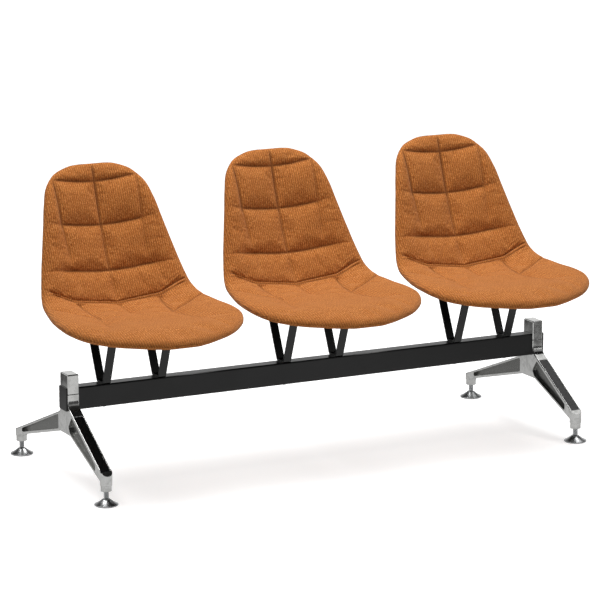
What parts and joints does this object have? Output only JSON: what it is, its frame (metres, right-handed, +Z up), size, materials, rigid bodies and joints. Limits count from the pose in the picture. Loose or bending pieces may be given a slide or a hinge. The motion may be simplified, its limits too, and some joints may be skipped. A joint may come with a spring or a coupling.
{
  "type": "beam seating bench",
  "caption": "Beam seating: quilted upholstered shell seats on bent brackets along a rectangular beam, with cast end legs on screw-adjustable feet.",
  "frame": {"origin": "on the floor, in the middle of the bench's plan", "axes": "+X along the beam to the right as seen from the front, +Y towards the backs of the seats, +Z up"},
  "size_m": [1.543, 0.7095, 0.789],
  "materials": {
    "black_steel": "satin black powder coat",
    "polished_casting": "polished die casting",
    "chromed_foot": "chromed",
    "zinc_steel": "zinc plated",
    "blackened_steel": "blackened",
    "black_plastic": "matt moulded",
    "grey_plastic": "matt moulded",
    "orange_fabric": "melange weave with fine ribs",
    "brass_insert": "turned"
  },
  "bodies": {
    "frame": {"beam_end_plug_left": "black_plastic", "beam_end_plug_right": "black_plastic", "beam_tube": "black_steel", "bracket_bolts_1": "blackened_steel", "bracket_bolts_2": "blackened_steel", "bracket_bolts_3": "blackened_steel", "clamp_bolts_left": "zinc_steel", "clamp_bolts_right": "zinc_steel", "clamp_cap_left": "polished_casting", "clamp_cap_right": "polished_casting", "leg_casting_left": "polished_casting", "leg_casting_right": "polished_casting", "seat_bracket_1_left": "black_steel", "seat_bracket_1_right": "black_steel", "seat_bracket_2_left": "black_steel", "seat_bracket_2_right": "black_steel", "seat_bracket_3_left": "black_steel", "seat_bracket_3_right": "black_steel", "seat_inner_shell_1": "grey_plastic", "seat_inner_shell_2": "grey_plastic", "seat_inner_shell_3": "grey_plastic", "seat_inserts_1": "brass_insert", "seat_inserts_2": "brass_insert", "seat_inserts_3": "brass_insert", "seat_quilted_pad_1": "orange_fabric", "seat_quilted_pad_2": "orange_fabric", "seat_quilted_pad_3": "orange_fabric", "seat_rear_cover_1": "orange_fabric", "seat_rear_cover_2": "orange_fabric", "seat_rear_cover_3": "orange_fabric", "seat_screws_1": "blackened_steel", "seat_screws_2": "blackened_steel", "seat_screws_3": "blackened_steel", "seat_washers_1": "blackened_steel", "seat_washers_2": "blackened_steel", "seat_washers_3": "blackened_steel"},
    "foot_left_front": {"foot_cup_left_front": "chromed_foot", "foot_sole_left_front": "black_plastic"},
    "stud_left_front": {"foot_stud_left_front": "zinc_steel"},
    "foot_left_rear": {"foot_cup_left_rear": "chromed_foot", "foot_sole_left_rear": "black_plastic"},
    "stud_left_rear": {"foot_stud_left_rear": "zinc_steel"},
    "foot_right_front": {"foot_cup_right_front": "chromed_foot", "foot_sole_right_front": "black_plastic"},
    "stud_right_front": {"foot_stud_right_front": "zinc_steel"},
    "foot_right_rear": {"foot_cup_right_rear": "chromed_foot", "foot_sole_right_rear": "black_plastic"},
    "stud_right_rear": {"foot_stud_right_rear": "zinc_steel"}
  },
  "joints": [
    {"name": "level_left_front", "type": "slide", "parent": "frame", "child": "foot_left_front", "axis": [0, 0, 1], "range_m": [-0.008, 0.008]},
    {"name": "stud_turn_left_front", "type": "hinge", "parent": "foot_left_front", "child": "stud_left_front", "pos_m": [-0.7, -0.244, 0], "axis": [0, 0, 1], "range_deg": [-1441, 1441]},
    {"name": "level_left_rear", "type": "slide", "parent": "frame", "child": "foot_left_rear", "axis": [0, 0, 1], "range_m": [-0.008, 0.008]},
    {"name": "stud_turn_left_rear", "type": "hinge", "parent": "foot_left_rear", "child": "stud_left_rear", "pos_m": [-0.7, 0.324, 0], "axis": [0, 0, 1], "range_deg": [-1441, 1441]},
    {"name": "level_right_front", "type": "slide", "parent": "frame", "child": "foot_right_front", "axis": [0, 0, 1], "range_m": [-0.008, 0.008]},
    {"name": "stud_turn_right_front", "type": "hinge", "parent": "foot_right_front", "child": "stud_right_front", "pos_m": [0.7, -0.244, 0], "axis": [0, 0, 1], "range_deg": [-1441, 1441]},
    {"name": "level_right_rear", "type": "slide", "parent": "frame", "child": "foot_right_rear", "axis": [0, 0, 1], "range_m": [-0.008, 0.008]},
    {"name": "stud_turn_right_rear", "type": "hinge", "parent": "foot_right_rear", "child": "stud_right_rear", "pos_m": [0.7, 0.324, 0], "axis": [0, 0, 1], "range_deg": [-1441, 1441]}
  ],
  "couplings": [
    {"joint": "stud_turn_left_front", "follows": "level_left_front", "rad_per_m": 3141.6},
    {"joint": "stud_turn_left_rear", "follows": "level_left_rear", "rad_per_m": 3141.6},
    {"joint": "stud_turn_right_front", "follows": "level_right_front", "rad_per_m": 3141.6},
    {"joint": "stud_turn_right_rear", "follows": "level_right_rear", "rad_per_m": 3141.6}
  ]
}
